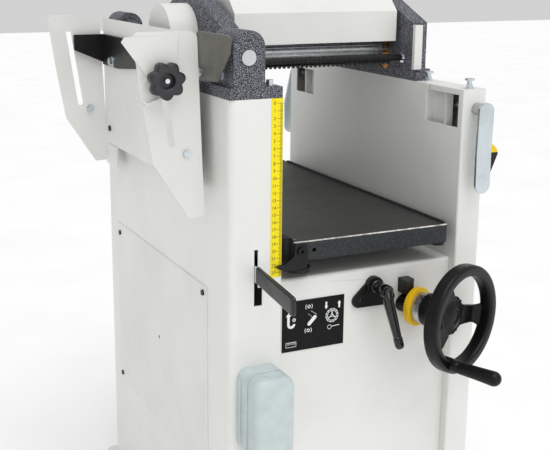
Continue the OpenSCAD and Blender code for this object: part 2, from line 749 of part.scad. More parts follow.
// ---------- guards, motor and drive ----------
module hood_profile(inset) {
    polygon([[-98 + inset, 800], [-98 + inset, 846], [-58 + inset*0.6, 886 - inset],
        [62 - inset*0.6, 886 - inset], [104 - inset, 846], [104 - inset, 800]]);
}
module chip_hood() {
    color("White") {
        difference() {
            side_on(-hood_half, hood_half) hood_profile(0);
            side_on(-hood_half + 2, hood_half - 2) union() {
                hood_profile(2);
                translate([-96, 790]) square([198, 11]);
            }
            rod_z(880, 890, 0, 2, 47.8);
            rod_x(-hood_half - 1, hood_half + 1, hood_pin_y, hood_pin_z, 4 + run_gap);
            // the head and the rollers pass the end plates
            slab(-hood_half - 1, -hood_half + 3, -76, 76, 790, 832);
            slab(hood_half - 3, hood_half + 1, -76, 76, 790, 832);
        }
        // collar for the extraction hose
        translate([0, 2, 885.5]) ring(62, 50, 47.8);
    }
}
module head_covers() {
    z0 = left_top + 15;
    color("WhiteSmoke") {
        // belt and chain cover on the left casting
        difference() {
            union() {
                slab(-216.5, -173, -90, 90, z0, cutter_z + 6);
                rod_x(-216.5, -173, 0, cutter_z, 50);
            }
            slab(-214.5, -172, -88, 88, z0 - 1, cutter_z + 4);
            rod_x(-214.5, -172, 0, cutter_z, 48);
            slab(-220, -170, -90, 90, z0 - 10, z0);
        }
        // strip in front of the right casting
        slab(throat_half + 2, 158, -139, -132.5, 758.9, 826);
    }
}
module motor() {
    color("SteelBlue") {
        difference() {
            union() {
                rod_x(-110, 90, motor_y, motor_z, 66);
                rod_x(-128, -109, motor_y, motor_z, 50);
                rod_x(89, 104, motor_y, motor_z, 60);
                // foot and the shelf that carries it
                slab(-60, 50, motor_y - 50, motor_y + 50, 118, motor_z - 40);
                slab(-80, 70, motor_y - 60, panel_y - sheet, 114, 118.5);
                slab(-80, 70, panel_y - sheet - 4, panel_y - sheet, 60, 118);
            }
            rod_x(-130, -100, motor_y, motor_z, 11 + run_gap);
        }
    }
}
module motor_pulley() {
    color("Silver") {
        rod_x(-213, -101, motor_y, motor_z, 11);
        rod_x(belt_x - 9, belt_x + 9, motor_y, motor_z, 38);
    }
}
module loop2d(ya, za, ra, yb, zb, rb) {
    // outer tangent loop round two circles, drawn as feed/up
    d = [yb - ya, zb - za];
    len_ab = norm(d);
    base = atan2(d[1], d[0]);
    lean = acos((ra - rb)/len_ab);
    disc_at([ya, za], ra);
    disc_at([yb, zb], rb);
    polygon([for (k = [[ya, za, ra, lean], [ya, za, ra, -lean], [yb, zb, rb, -lean],
        [yb, zb, rb, lean]]) [k[0] + k[2]*cos(base + k[3]), k[1] + k[2]*sin(base + k[3])]]);
}
module drive_belt() {
    color("Black") side_on(belt_x - belt_w/2, belt_x + belt_w/2) difference() {
        loop2d(motor_y, motor_z, 42.4, 0, cutter_z, 32.4);
        loop2d(motor_y, motor_z, 38.4, 0, cutter_z, 28.4);
    }
}
// one chain to each roller, side by side on the drive shaft
module feed_chain() {
    for (c = [[chain_in_x, -roller_y], [chain_out_x, roller_y]])
        color("DimGray") side_on(c[0] - 2, c[0] + 2) difference() {
            loop2d(c[1], roller_z, sprocket_r + 3.6, drive_y, drive_z, sprocket_r + 3.6);
            loop2d(c[1], roller_z, sprocket_r + 0.4, drive_y, drive_z, sprocket_r + 0.4);
        }
}
module feed_gearbox() {
    color("DimGray") difference() {
        union() {
            slab(-176, -150, drive_y - 38, drive_y + 38, drive_z - 40, drive_z + 36);
            slab(-151, -throat_half - sheet, drive_y - 30, drive_y + 30, drive_z - 30,
                drive_z + 26);
        }
        rod_x(-177, -152, drive_y, drive_z, 8 + run_gap);
    }
    // pivot pin of the feed lever
    color("Silver") rod_x(-190, -throat_half - sheet, pivot_y, lever_z, 5);
}
module feed_sprocket() {
    color("Silver") {
        rod_x(-211, -153, drive_y, drive_z, 8);
        for (x = [chain_in_x, chain_out_x]) rod_x(x - 2.4, x + 2.4, drive_y, drive_z, sprocket_r);
        // friction wheel that the lever swings against the belt
        rod_x(-211, -197, drive_y, drive_z, 26);
    }
}
box_core = [[-196, 274], [-162, 274], [-162, 369], [-196, 369]];
module terminal_box() {
    color("LightSteelBlue") {
        difference() {
            upright(-296, -half_depth) round_poly(box_core, 12);
            upright(-293, -half_depth - 2) round_poly(box_core, 9);
            rod_z(261, 266, -179, -283, 9);
        }
        slab(-210, -207.5, -282, -half_depth - 4, 274, 369);
        // cable gland under the box
        translate([-179, -283, 250]) ring(12.5, 12, 7);
    }
}
module terminal_lid() {
    color("LightSteelBlue") difference() {
        union() {
            translate([0, 0, 260]) linear_extrude(116)
                polygon([[-209, -297], [-149, -297], [-153, -331], [-205, -331]]);
            side_on(-205, -153) polygon([[-331, 375], [-297, 375], [-297, 384], [-326, 381]]);
        }
        slab(-202, -156, -328, -296, 264, 373);
    }
}
module latch_plates() {
    // the front plate hangs straight, and the rear one is cranked inwards
    color("Silver") for (p = [[-latch_y - 4, 0, 607.6], [latch_y, -13, 609.6]]) difference() {
        upright(p[0], p[0] + 4) {
            bar2d([latch_x + (p[1] == 0 ? 1 : 0), latch_z - 1.6], [latch_x + p[1], 652], 12.6);
            bar2d([latch_x + p[1], 652], [latch_x + p[1] + 0.8, p[2]], 12.6);
        }
        rod_y(-latch_y - 2.5, latch_y + 2.5, latch_x, latch_z, latch_shaft_r);
    }
}
module latch_shaft() {
    color("DimGray") {
        rod_y(-latch_y - 2.5, latch_y + 2.5, latch_x, latch_z, latch_shaft_r);
        for (s = [-1, 1]) {
            // collar outside and cam inside each end wall
            rod_y(s > 0 ? half_depth + 0.3 : -latch_y, s > 0 ? latch_y : -half_depth - 0.3,
                latch_x, latch_z, 9);
            rod_y(s > 0 ? 246 : -264, s > 0 ? 264 : -246, latch_x, latch_z, 14);
        }
    }
}
module feed_lever() {
    color("Silver") difference() {
        slab(-183.9, -178.9, -292, pivot_y + 14, lever_z - 12, lever_z + 12);
        rod_x(-190, -170, pivot_y, lever_z, 5 + run_gap);
    }
    // flat grip, widening towards its rounded end
    color("DimGray") translate([-181.4, -276, lever_z]) rotate([0, 0, 4.7]) translate([0, 276, 0])
        side_on(-3.6, 3.6) round_poly([[-366.8, -27.3], [-278, -9], [-278, 8.4], [-366.8, -7.8]], 3.2);
}
module switch_box() {
    y0 = switch_y - 28;
    y1 = switch_y + 28;
    x = right_x;
    color("DimGray") difference() {
        union() {
            slab(x, x + 4, y0 - 4, y1 + 4, 592, 694);
            upright(y0, y1) polygon([[x + 3, 596], [x + 22, 598], [x + 32, 615], [x + 43, 641],
                [x + 43, 644.5], [x + 3, 644.5]]);
            // hood round the stop button
            upright(y0, y1) polygon([[x + 3, 644], [x + 42.5, 644], [x + 40.5, 650],
                [x + 27, 661], [x + 18, 690], [x + 3, 690]]);
        }
        // wells that the buttons press into
        stop_place() translate([0, 0, -14]) cylinder(h = 20, r = 7.3);
        stop_place() translate([0, 0, -3.4]) cylinder(h = 18, r = 12.4);
        start_place() translate([0, 0, -4]) cylinder(h = 8, r = 8.3);
    }
}
module stop_place() {
    translate([right_x + 24.2, switch_y - 14, 668.5]) rotate([0, stop_tilt, 0]) children();
}
module start_place() {
    translate([right_x + 37.6, switch_y, 628.2]) rotate([0, start_tilt, 0]) children();
}
module stop_button() {
    color("Red") stop_place() {
        cylinder(h = 6.5, r = 12);
        translate([0, 0, -10]) cylinder(h = 11, r = 7);
    }
}
module start_button() {
    color("Green") start_place() translate([0, 0, -1.5]) cylinder(h = 5.7, r = 8);
}

base_frame();
left_column();
right_column();
front_panel();
rear_panel();
access_panels();
panel_screws();
left_casting();
right_casting();
hex_bolts();
hinge_pins();
hinge_plate();
bracket_web();
bracket_front();
bracket_rear();
slide_plate();
star_knob();
height_scale();
control_label();
lock_flange();
lock_lever();
lock_pad();
index_block();
shaft_boss();
wheel_shaft();
dial();
handwheel();
crank_handle();
lift_nut();
lift_screw();
guide_housing();
guide_column();
table();
pointer();
pointer_screw();
table_buffers();
cutterhead();
knives();
cutter_bearings();
feed_roller_in();
feed_roller_out();
bearing_blocks();
kickback_rod();
kickback_fingers();
chip_hood();
head_covers();
motor();
motor_pulley();
drive_belt();
feed_chain();
feed_gearbox();
feed_sprocket();
terminal_box();
terminal_lid();
latch_shaft();
latch_plates();
feed_lever();
switch_box();
stop_button();
start_button();
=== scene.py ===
"""Looks for the thickness planer: finishes for the CAD nodes, and detailed pieces built round them.

Shapes are built in millimetres in the shared frame (+X right, +Y back, +Z up) and scaled to metres
when they become objects. Places come from the CAD nodes' boxes, the joints' pivots and the sizes named
in each section.
"""
import json
import math

import bmesh
import bpy
from mathutils import Matrix, Vector


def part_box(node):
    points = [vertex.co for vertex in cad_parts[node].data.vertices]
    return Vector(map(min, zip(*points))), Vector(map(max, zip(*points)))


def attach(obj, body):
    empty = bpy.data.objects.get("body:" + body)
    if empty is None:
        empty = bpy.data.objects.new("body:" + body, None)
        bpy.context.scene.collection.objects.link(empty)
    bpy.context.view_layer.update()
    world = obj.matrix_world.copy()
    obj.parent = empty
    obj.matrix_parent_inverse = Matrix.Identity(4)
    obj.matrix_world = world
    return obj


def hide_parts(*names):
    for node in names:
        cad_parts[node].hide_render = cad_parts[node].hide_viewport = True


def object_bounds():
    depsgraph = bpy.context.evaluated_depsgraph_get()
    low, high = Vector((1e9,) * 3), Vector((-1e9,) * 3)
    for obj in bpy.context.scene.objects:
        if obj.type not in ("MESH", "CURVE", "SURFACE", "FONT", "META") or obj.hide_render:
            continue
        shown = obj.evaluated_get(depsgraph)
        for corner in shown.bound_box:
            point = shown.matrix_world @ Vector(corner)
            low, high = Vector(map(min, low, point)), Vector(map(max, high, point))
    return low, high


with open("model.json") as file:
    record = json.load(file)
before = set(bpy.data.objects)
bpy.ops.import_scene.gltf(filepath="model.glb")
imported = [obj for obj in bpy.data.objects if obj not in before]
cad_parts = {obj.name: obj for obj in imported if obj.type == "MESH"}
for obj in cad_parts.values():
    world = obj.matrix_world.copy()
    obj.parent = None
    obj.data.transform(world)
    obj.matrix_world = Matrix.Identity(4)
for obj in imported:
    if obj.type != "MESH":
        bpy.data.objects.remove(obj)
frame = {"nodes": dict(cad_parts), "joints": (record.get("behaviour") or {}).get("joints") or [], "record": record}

CAD_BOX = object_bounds()
MM = 0.001
UP = Vector((0, 0, 1))
X_AXIS, Y_AXIS, Z_AXIS = 0, 1, 2
JOINTS = {joint["name"]: joint for joint in frame["joints"]}
SLOTS = {sub["node"]: sub["material_slot"] for sub in frame["record"]["subparts"]}


# ---------- places in the frame ----------
def box_mm(node):
    """Lowest and highest corner of a CAD node, in millimetres."""
    low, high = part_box(node)
    return low / MM, high / MM


def pivot(joint):
    return Vector(JOINTS[joint]["pos_m"]) / MM


def axis(joint):
    return Vector(JOINTS[joint]["axis"])


def stand(origin, direction, hint=UP):
    """Matrix that puts local z along direction, with local y as near to hint as it can be."""
    z = Vector(direction).normalized()
    x = Vector(hint).cross(z).normalized()
    y = z.cross(x)
    turn = Matrix((x, y, z)).transposed().to_4x4()
    return Matrix.Translation(Vector(origin)) @ turn


def turned_about(letter, degrees):
    return Matrix.Rotation(math.radians(degrees), 4, letter)


# Stands a flat outline up so that it faces the front of the machine.
FACING_FRONT = turned_about("X", 90)


# ---------- mesh tools ----------
BEVEL_STEPS, BEVEL_CORNER = 2, 32
NORMAL_WEIGHT = 80


def skin(rings, wrap=False):
    """A closed surface through rings of points. A ring of one point closes an end, and wrap joins the
    last ring to the first."""
    bm = bmesh.new()
    rows = [[bm.verts.new(p) for p in ring] for ring in rings]
    pairs = list(zip(rows, rows[1:]))
    if wrap:
        pairs.append((rows[-1], rows[0]))
    for a, b in pairs:
        count = max(len(a), len(b))
        for i in range(count):
            j = (i + 1) % count
            corners = []
            for v in (a[i % len(a)], a[j % len(a)], b[j % len(b)], b[i % len(b)]):
                if v not in corners:
                    corners.append(v)
            if len(corners) > 2:
                bm.faces.new(corners)
    if not wrap:
        for row in (rows[0], rows[-1]):
            if len(row) > 2:
                bm.faces.new(row)
    return bm


def circle(radius, z, steps):
    if radius < 1e-6:
        return [(0, 0, z)]
    turns = [2 * math.pi * i / steps for i in range(steps)]
    return [(radius * math.cos(t), radius * math.sin(t), z) for t in turns]


def turned(profile, steps=64, wrap=False):
    """Lathe work: the profile is (radius, height) from one end to the other."""
    return skin([circle(r, z, steps) for r, z in profile], wrap)


def prism(outline, low, high):
    return skin([[(x, y, low) for x, y in outline], [(x, y, high) for x, y in outline]])


def rectangle(x0, y0, x1, y1):
    return [(x0, y0), (x1, y0), (x1, y1), (x0, y1)]


def block(low, high):
    return prism(rectangle(low[0], low[1], high[0], high[1]), low[2], high[2])


def arc(cx, cy, radius, start, end, steps=8):
    """Points of an arc; the angles are in degrees."""
    angles = [math.radians(start + (end - start) * i / steps) for i in range(steps + 1)]
    return [(cx + radius * math.cos(a), cy + radius * math.sin(a)) for a in angles]


def rounded_rect(width, height, radius, steps=6):
    """Outline centred on the origin, with its corners rounded."""
    x, y = width / 2 - radius, height / 2 - radius
    return (arc(x, -y, radius, -90, 0, steps) + arc(x, y, radius, 0, 90, steps)
            + arc(-x, y, radius, 90, 180, steps) + arc(-x, -y, radius, 180, 270, steps))


def ring_2d(outer, inner, start=0, end=360, steps=32):
    """A flat ring or part of one, as one outline."""
    return arc(0, 0, outer, start, end, steps) + arc(0, 0, inner, end, start, steps)


def shifted(points, dx, dy):
    return [(x + dx, y + dy) for x, y in points]


def join(*parts):
    """One bmesh from several; each is a bmesh or (bmesh, matrix)."""
    whole = bmesh.new()
    for part in parts:
        bm, place = part if isinstance(part, tuple) else (part, None)
        if place is not None:
            bm.transform(place)
        mesh = bpy.data.meshes.new("part")
        bm.to_mesh(mesh)
        bm.free()
        whole.from_mesh(mesh)
        bpy.data.meshes.remove(mesh)
    return whole


def numerals(text, size, thickness):
    """A number as a solid mesh, centred on the origin in the x-y plane."""
    curve = bpy.data.curves.new("numeral", "FONT")
    curve.body = text
    curve.size = size
    curve.align_x, curve.align_y = "CENTER", "CENTER"
    curve.extrude = thickness / 2
    curve.resolution_u = 3
    holder = bpy.data.objects.new("numeral", curve)
    bpy.context.scene.collection.objects.link(holder)
    graph = bpy.context.evaluated_depsgraph_get()
    mesh = bpy.data.meshes.new_from_object(holder.evaluated_get(graph))
    bm = bmesh.new()
    bm.from_mesh(mesh)
    bpy.data.objects.remove(holder)
    bpy.data.curves.remove(curve)
    bpy.data.meshes.remove(mesh)
    return bm


def soften(obj, width):
    """Rounds an object's edges and shades its large faces flat."""
    bevel = obj.modifiers.new("edges", "BEVEL")
    bevel.width = width * MM
    bevel.segments = BEVEL_STEPS
    bevel.limit_method = "ANGLE"
    bevel.angle_limit = math.radians(BEVEL_CORNER)
    bevel.use_clamp_overlap = True
    shade = obj.modifiers.new("shading", "WEIGHTED_NORMAL")
    shade.weight = NORMAL_WEIGHT
    shade.keep_sharp = False


def make(name, bm, material, body, place=None, edge=0.0, corner=35, stands_for=()):
    """Turns a bmesh in millimetres into a piece that rides on a CAD body."""
    if place is not None:
        bm.transform(place)
    bm.transform(Matrix.Scale(MM, 4))
    bmesh.ops.recalc_face_normals(bm, faces=bm.faces)
    for e in bm.edges:
        e.smooth = len(e.link_faces) == 2 and e.calc_face_angle(0) < math.radians(corner)
    for f in bm.faces:
        f.smooth = True
    mesh = bpy.data.meshes.new(name)
    bm.to_mesh(mesh)
    bm.free()
    obj = bpy.data.objects.new(name, mesh)
    bpy.context.scene.collection.objects.link(obj)
    mesh.materials.append(material)
    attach(obj, body)
    if stands_for:
        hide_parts(*stands_for)
    if edge:
        soften(obj, edge)
    return obj


# ---------- materials ----------
def tone(code):
    """Linear colour from a six-digit sRGB code."""
    parts = [int(code[i:i + 2], 16) / 255 for i in (0, 2, 4)]
    return tuple(c / 12.92 if c <= 0.04045 else ((c + 0.055) / 1.055) ** 2.4 for c in parts) + (1,)


class Finish:
    """A procedural material: a Principled shader and the nodes that feed it, in object space."""

    def __init__(self, name, metallic=0.0, specular=0.5, coat=0.0, coat_roughness=0.1):
        self.material = bpy.data.materials.new(name)
        self.material.use_nodes = True
        self.tree = self.material.node_tree
        self.tree.nodes.clear()
        self.shader = self.add("ShaderNodeBsdfPrincipled")
        output = self.add("ShaderNodeOutputMaterial")
        self.link(self.shader.outputs[0], output.inputs[0])
        self.place = self.add("ShaderNodeTexCoord").outputs["Object"]
        self.set("Metallic", metallic)
        self.set("Specular IOR Level", specular)
        self.set("Coat Weight", coat)
        self.set("Coat Roughness", coat_roughness)

    def add(self, kind, **settings):
        node = self.tree.nodes.new(kind)
        for key, value in settings.items():
            setattr(node, key, value)
        return node

    def link(self, source, target):
        self.tree.links.new(source, target)

    def set(self, socket, value):
        if isinstance(value, bpy.types.NodeSocket):
            self.link(value, self.shader.inputs[socket])
        else:
            self.shader.inputs[socket].default_value = value

    def stretched(self, stretch, turn=(0, 0, 0)):
        node = self.add("ShaderNodeMapping")
        node.inputs["Scale"].default_value = stretch
        node.inputs["Rotation"].default_value = [math.radians(a) for a in turn]
        self.link(self.place, node.inputs["Vector"])
        return node.outputs[0]

    def noise(self, scale, detail=3.0, roughness=0.55, place=None):
        """Noise whose features are about 1/scale metres across."""
        node = self.add("ShaderNodeTexNoise")
        node.inputs["Scale"].default_value = scale
        node.inputs["Detail"].default_value = detail
        node.inputs["Roughness"].default_value = roughness
        self.link(place or self.place, node.inputs["Vector"])
        return node.outputs["Fac"]

    def coordinate(self, axis_index, source=None):
        """One component of the place in object space, or of another vector."""
        node = self.add("ShaderNodeSeparateXYZ")
        self.link(source or self.place, node.inputs[0])
        return node.outputs[axis_index]

    def cells(self, scale):
        node = self.add("ShaderNodeTexVoronoi", feature="F1")
        node.inputs["Scale"].default_value = scale
        self.link(self.place, node.inputs["Vector"])
        return node.outputs["Distance"]

    def ramp(self, factor, *stops):
        node = self.add("ShaderNodeValToRGB")
        points = node.color_ramp.elements
        while len(points) < len(stops):
            points.new(0.5)
        for point, (position, colour) in zip(points, stops):
            point.position = position
            point.color = colour
        self.link(factor, node.inputs[0])
        return node.outputs[0]

    def span(self, factor, low, high, start=0.3, end=0.7):
        """Maps start..end of a factor on to low..high."""
        node = self.add("ShaderNodeMapRange")
        for i, value in ((1, start), (2, end), (3, low), (4, high)):
            node.inputs[i].default_value = value
        self.link(factor, node.inputs[0])
        return node.outputs[0]

    def math(self, operation, a, b=None):
        node = self.add("ShaderNodeMath", operation=operation)
        for i, value in enumerate((a, b)):
            if isinstance(value, bpy.types.NodeSocket):
                self.link(value, node.inputs[i])
            elif value is not None:
                node.inputs[i].default_value = value
        return node.outputs[0]

    def mix(self, factor, a, b):
        """Blend of two colours; each is a socket or a colour."""
        node = self.add("ShaderNodeMix", data_type="RGBA")
        if isinstance(factor, bpy.types.NodeSocket):
            self.link(factor, node.inputs[0])
        else:
            node.inputs[0].default_value = factor
        for i, value in ((6, a), (7, b)):
            if isinstance(value, bpy.types.NodeSocket):
                self.link(value, node.inputs[i])
            else:
                node.inputs[i].default_value = value
        return node.outputs[2]

    def blend(self, factor, a, b):
        """Blend of two numbers or number sockets."""
        node = self.add("ShaderNodeMix", data_type="FLOAT")
        self.link(factor, node.inputs[0])
        for i, value in ((2, a), (3, b)):
            if isinstance(value, bpy.types.NodeSocket):
                self.link(value, node.inputs[i])
            else:
                node.inputs[i].default_value = value
        return node.outputs[0]

    def bump(self, height, distance, strength=1.0, base=None):
        """Relief of distance millimetres."""
        node = self.add("ShaderNodeBump")
        node.inputs["Strength"].default_value = strength
        node.inputs["Distance"].default_value = distance * MM
        self.link(height, node.inputs["Height"])
        if base is not None:
            self.link(base, node.inputs["Normal"])
        return node.outputs[0]


def powder_coat(name, light, dark, roughness=0.38):
    """Sprayed enamel on sheet steel: a fine orange peel and a faint drift of tone."""
    f = Finish(name, specular=0.45)
    drift = f.noise(7, 4)
    grain = f.noise(900, 2)
    base = f.ramp(drift, (0.3, tone(dark)), (0.7, tone(light)))
    f.set("Base Color", f.mix(f.span(grain, 0.0, 0.08), base, tone("b9b8b0")))
    f.set("Roughness", f.span(f.noise(60, 4), roughness - 0.05, roughness + 0.07))
    peel = f.bump(f.noise(420, 2), 0.05, 0.35)
    f.set("Normal", f.bump(grain, 0.02, 0.3, peel))
    return f.material


def hammered_paint(name):
    """Hammer-effect enamel on rough castings: dark cells of the paint's own texture, with small pale flecks that
    are painted glints of its relief.
    """
    f = Finish(name, specular=0.12)
    cell = f.cells(820)
    speckle = f.noise(1300, 3)
    relief_and_glints = f.math("ADD", f.math("MULTIPLY", cell, 0.7), f.math("MULTIPLY", speckle, 0.55))
    # The pale top of the ramp paints the glints of the hammered relief into the colour; the darker stops are the
    # paint's own cells.
    f.set("Base Color", f.ramp(relief_and_glints, (0.42, tone("0b0b0e")), (0.58, tone("1f2127")),
                               (0.8, tone("9a9da6"))))
    f.set("Roughness", f.span(relief_and_glints, 0.4, 0.55))
    f.set("Normal", f.bump(relief_and_glints, 0.3, 0.9))
    return f.material


# Limits of a face normal's upward part (level and sloping faces) and of its backward part; the backward limit
# keeps the painted highlight to the forward-facing chamfer.
LEVEL_FACE, SLOPING_FACE, FORWARD_FACE = 0.93, 0.2, -0.3


def cast_table(name, floor_height):
    """Iron casting: ground flat on top, a painted highlight on its sloping front edge and dark enamel elsewhere.
    """
    f = Finish(name, metallic=0.0, specular=0.35)
    normal = f.add("ShaderNodeNewGeometry").outputs["True Normal"]
    upward = f.coordinate(Z_AXIS, normal)
    above = f.math("GREATER_THAN", f.coordinate(Z_AXIS), floor_height)
    facing = f.math("GREATER_THAN", upward, LEVEL_FACE)
    sloping = f.math("GREATER_THAN", upward, SLOPING_FACE)
    top = f.math("MULTIPLY", above, facing)
    forward = f.math("LESS_THAN", f.coordinate(Y_AXIS, normal), FORWARD_FACE)
    # Painted highlight: mask of the sloping front chamfer that faces the lamps.
    painted_highlight_mask = f.math("MULTIPLY", f.math("MULTIPLY", above, forward), f.math("SUBTRACT", sloping, facing))
    lines = f.noise(220, 4, 0.6, f.stretched((0.06, 1, 1)))
    blot = f.noise(11, 5, 0.6)
    ground = f.mix(f.span(lines, 0.0, 0.55), f.ramp(blot, (0.3, tone("232423")), (0.7, tone("333331"))),
                   tone("444340"))
    enamel = f.ramp(f.noise(240, 4), (0.3, tone("1d2022")), (0.7, tone("34383a")))
    colour = f.mix(top, enamel, ground)
    # Pale tone of the painted highlight on the front chamfer.
    edge = f.ramp(f.noise(90, 4, 0.7), (0.35, tone("8e8c88")), (0.6, tone("dedcd8")))
    f.set("Base Color", f.mix(painted_highlight_mask, colour, edge))
    f.set("Roughness", f.blend(top, f.span(blot, 0.5, 0.62), f.span(lines, 0.42, 0.56)))
    f.set("Normal", f.bump(f.blend(top, f.noise(300, 3), lines), 0.04, 0.5))
    return f.material


def steel(name, colour, roughness, stretch=(1, 1, 1), scale=300, dirt="5c5a55"):
    """Machined or plated steel with fine tool lines."""
    f = Finish(name, metallic=1.0)
    lines = f.noise(scale, 4, 0.6, f.stretched(stretch))
    stain = f.noise(30, 4)
    f.set("Base Color", f.mix(f.span(stain, 0.0, 0.25), tone(colour), tone(dirt)))
    f.set("Roughness", f.span(lines, roughness - 0.06, roughness + 0.1))
    f.set("Normal", f.bump(lines, 0.015, 0.4))
    return f.material


def moulded(name, colour, second, roughness, grain=500, relief=0.03, coat=0.0, specular=0.5):
    """Moulded plastic or rubber with a fine texture."""
    f = Finish(name, specular=specular, coat=coat)
    drift = f.noise(45, 4)
    f.set("Base Color", f.ramp(drift, (0.3, tone(colour)), (0.7, tone(second))))
    f.set("Roughness", f.span(f.noise(160, 3), roughness - 0.05, roughness + 0.07))
    f.set("Normal", f.bump(f.noise(grain, 2), relief, 0.5))
    return f.material


def printed_film(name, colour, worn):
    """Printed plastic film: flat colour with rubbed patches."""
    f = Finish(name, specular=0.16)
    rub = f.noise(55, 5, 0.65)
    f.set("Base Color", f.ramp(rub, (0.35, tone(colour)), (0.75, tone(worn))))
    f.set("Roughness", f.span(f.noise(90, 3), 0.34, 0.48))
    f.set("Normal", f.bump(f.noise(700, 2), 0.01, 0.4))
    return f.material


SWITCH_BAND = (644 * MM, 661 * MM)


def switch_plastic(name):
    """Black moulded switch case with a yellow band round the base of its hood."""
    f = Finish(name, specular=0.4)
    height = f.coordinate(Z_AXIS)
    above = f.math("GREATER_THAN", height, SWITCH_BAND[0])
    below = f.math("LESS_THAN", height, SWITCH_BAND[1])
    drift = f.noise(45, 4)
    black = f.ramp(drift, (0.3, tone("0a0a0c")), (0.7, tone("141417")))
    yellow = f.ramp(drift, (0.3, tone("f8d416")), (0.7, tone("ecc30f")))
    f.set("Base Color", f.mix(f.math("MULTIPLY", above, below), black, yellow))
    f.set("Roughness", f.span(f.noise(160, 3), 0.32, 0.44))
    f.set("Normal", f.bump(f.noise(500, 2), 0.02, 0.5))
    return f.material


def two_finishes(name, axis_index, limit, before, after):
    """One finish below a limit along an axis and another above it, for a node with fitted parts; on the hinge
    plate the finish below the limit is a painted sheen.
    """
    f = Finish(name)
    split = f.math("GREATER_THAN", f.coordinate(axis_index), limit * MM)
    grain = f.noise(120, 3)
    stain = f.noise(30, 4)
    (dark_a, light_a, metal_a, rough_a), (dark_b, light_b, metal_b, rough_b) = before, after
    tone_a = f.ramp(stain, (0.3, tone(dark_a)), (0.7, tone(light_a)))
    tone_b = f.ramp(stain, (0.3, tone(dark_b)), (0.7, tone(light_b)))
    f.set("Base Color", f.mix(split, tone_a, tone_b))
    f.set("Metallic", f.blend(split, metal_a, metal_b))
    f.set("Roughness", f.math("ADD", f.blend(split, rough_a, rough_b), f.span(grain, -0.04, 0.06)))
    f.set("Specular IOR Level", 0.3)
    f.set("Normal", f.bump(f.noise(420, 2), 0.03, 0.4))
    return f.material


TABLE_PLATE = 16
TABLE_UNDER_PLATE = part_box("table")[1].z - TABLE_PLATE * MM
FINISH = {
    "cabinet_paint": powder_coat("cabinet_paint", "e9e9e6", "e1e1dd"),
    "panel_paint": powder_coat("panel_paint", "e6e6e3", "dcdcd9"),
    "casting_paint": hammered_paint("casting_paint"),
    "ground_iron": cast_table("ground_iron", TABLE_UNDER_PLATE),
    "bright_steel": steel("bright_steel", "c9cbcd", 0.28, (1, 1, 1), 260),
    "zinc": steel("zinc", "d6dfe3", 0.24, (1, 1, 0.2), 180, "7f898e"),
    "black_plastic": moulded("black_plastic", "060607", "0b0b0d", 0.34, 650, 0.02, specular=0.26),
    "black_enamel": moulded("black_enamel", "0d0e0e", "181919", 0.36, 420, 0.05, specular=0.28),
    "black_gloss": moulded("black_gloss", "08080a", "0e0e11", 0.16, 300, 0.01, coat=0.4, specular=0.4),
    "scale_film": printed_film("scale_film", "f6e41c", "ecd62c"),
    "dial_yellow": printed_film("dial_yellow", "f2c51a", "e2b112"),
    "label_film": printed_film("label_film", "0b0c0c", "121414"),
    "bronze": steel("bronze", "a8743c", 0.38, (1, 1, 1), 200, "6a4526"),
    "rubber_black": moulded("rubber_black", "121213", "1b1b1c", 0.6, 800, 0.04, specular=0.35),
    "plastic_grey": moulded("plastic_grey", "c6d1d2", "b8c4c5", 0.45, 500, 0.02),
    "red_plastic": moulded("red_plastic", "c31611", "a9110d", 0.3, 400, 0.02),
    "green_plastic": moulded("green_plastic", "1c9440", "157a33", 0.3, 400, 0.02),
    "motor_alloy": steel("motor_alloy", "9aa3ab", 0.5, (1, 1, 1), 500, "747b82"),
}
CHROME = steel("chrome", "e6e8ea", 0.12, (1, 1, 1), 120, "c9ccd0")
DARK_STEEL = steel("dark_steel", "5c5e60", 0.2, (1, 1, 1), 200, "2e2f30")
KNOB_BLACK = moulded("knob_black", "202023", "2b2b2f", 0.38, 500, 0.03)
INK = printed_film("ink", "141310", "1d1b14")
WHITE_INK = printed_film("white_ink", "f2f3f2", "e3e5e5")


# ---------- CAD nodes ----------
# How far each node's edges are rounded, in millimetres.
EDGES = {
    "base_frame": 0.8, "left_column": 0.5, "right_column": 0.5, "front_panel": 0.5,
    "access_panels": 0.6, "left_casting": 1.4, "right_casting": 1.4, "hex_bolts": 0.5,
    "hinge_plate": 0.9, "slide_plate": 0.4, "lock_flange": 1.0, "index_block": 0.6, "shaft_boss": 0.6,
    "dial": 0.7, "table": 0.6, "pointer": 0.3, "table_buffers": 1.2, "chip_hood": 0.7, "head_covers": 1.0,
    "motor": 2.0, "terminal_box": 1.5, "latch_plates": 0.6, "latch_shaft": 0.5,
    "switch_box": 1.5, "stop_button": 1.5, "start_button": 0.8,
    "feed_gearbox": 2.0, "guide_housing": 1.5, "bearing_blocks": 0.6, "motor_pulley": 1.0,
}


# Each finish is a dark tone, a light tone, how metallic it is and how rough it is.
BLACK_PART = ("0c0c0d", "171718", 0.0, 0.36)
# Black satin enamel painted grey: a painted sheen standing for the hinge plate's broad highlight.
PAINTED_SHEEN_PART = ("57564f", "6a6961", 0.0, 0.42)
BRIGHT_PART = ("b9bbbd", "eef0f2", 1.0, 0.14)
HINGE_SPLIT = 0
COLLAR_START = 137
NODE_FINISH = {
    "switch_box": switch_plastic("switch_case"),
    # Below the split, the hinge plate's black enamel is painted grey as a painted sheen.
    "hinge_plate": two_finishes("hinge_enamel_painted_sheen", Y_AXIS, HINGE_SPLIT, PAINTED_SHEEN_PART, BLACK_PART),
    "kickback_rod": two_finishes("rod_and_collar", X_AXIS, COLLAR_START, BLACK_PART, BRIGHT_PART),
}


WELD_GAP = 0.002


def dress_nodes():
    """Gives every CAD node its finish, and rounds the edges that a real one has rounded."""
    for node, obj in frame["nodes"].items():
        obj.data.materials[0] = NODE_FINISH.get(node, FINISH[SLOTS[node]])
        if node in EDGES:
            weld = obj.modifiers.new("weld", "WELD")
            weld.merge_threshold = WELD_GAP * MM
            soften(obj, EDGES[node])


